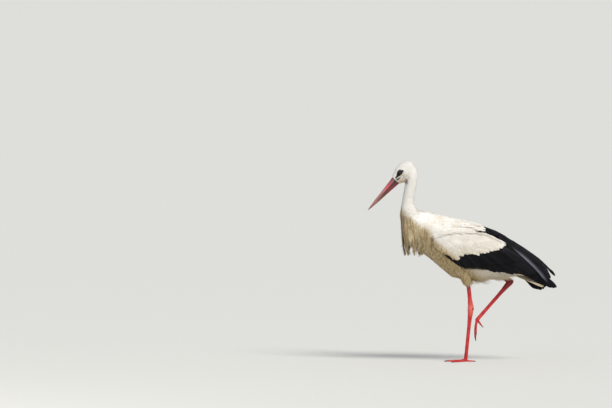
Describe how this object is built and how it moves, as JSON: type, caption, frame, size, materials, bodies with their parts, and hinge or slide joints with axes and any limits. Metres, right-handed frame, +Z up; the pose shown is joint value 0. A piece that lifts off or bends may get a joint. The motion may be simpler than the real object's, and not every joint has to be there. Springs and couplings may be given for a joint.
{
  "type": "white stork",
  "caption": "Life-size still model of a walking white stork, black and white with red legs, its long bill lowered and its wings folded.",
  "frame": {"origin": "on the floor, in the middle of the sole of the standing left foot", "axes": "+Z up, -X the way the bird faces, -Y its left side"},
  "size_m": [0.7837, 0.2024, 0.8356],
  "materials": {
    "white_plumage": "soft matt feathers",
    "cream_plumage": "soft matt feathers, beige-brown",
    "black_plumage": "black feathers with a faint violet gloss",
    "leg_skin": "red netted scales",
    "bill_horn": "satin dusky red horn",
    "claw_horn": "satin dark horn",
    "eye": "wet, dark brown"
  },
  "bodies": {
    "root": {"belly": "white_plumage", "bill_lower": "bill_horn", "bill_upper": "bill_horn", "breast": "cream_plumage", "breast_plumes": "cream_plumage", "claw_left_hind": "claw_horn", "claw_left_inner": "claw_horn", "claw_left_middle": "claw_horn", "claw_left_outer": "claw_horn", "claw_right_hind": "claw_horn", "claw_right_inner": "claw_horn", "claw_right_middle": "claw_horn", "claw_right_outer": "claw_horn", "eye_left": "eye", "eye_right": "eye", "head": "white_plumage", "long_scapulars_left": "black_plumage", "long_scapulars_right": "black_plumage", "mantle": "white_plumage", "neck_lower": "white_plumage", "neck_upper": "white_plumage", "scapulars_left": "white_plumage", "scapulars_right": "white_plumage", "shank_left": "leg_skin", "shank_right": "leg_skin", "tail": "white_plumage", "tarsus_left": "leg_skin", "tarsus_right": "leg_skin", "thigh_left": "white_plumage", "thigh_right": "white_plumage", "toe_left_hind": "leg_skin", "toe_left_inner": "leg_skin", "toe_left_middle": "leg_skin", "toe_left_outer": "leg_skin", "toe_right_hind": "leg_skin", "toe_right_inner": "leg_skin", "toe_right_middle": "leg_skin", "toe_right_outer": "leg_skin", "wing_left_coverts": "white_plumage", "wing_left_greater": "black_plumage", "wing_left_primaries": "black_plumage", "wing_left_secondaries": "black_plumage", "wing_right_coverts": "white_plumage", "wing_right_greater": "black_plumage", "wing_right_primaries": "black_plumage", "wing_right_secondaries": "black_plumage"}
  },
  "joints": []
}
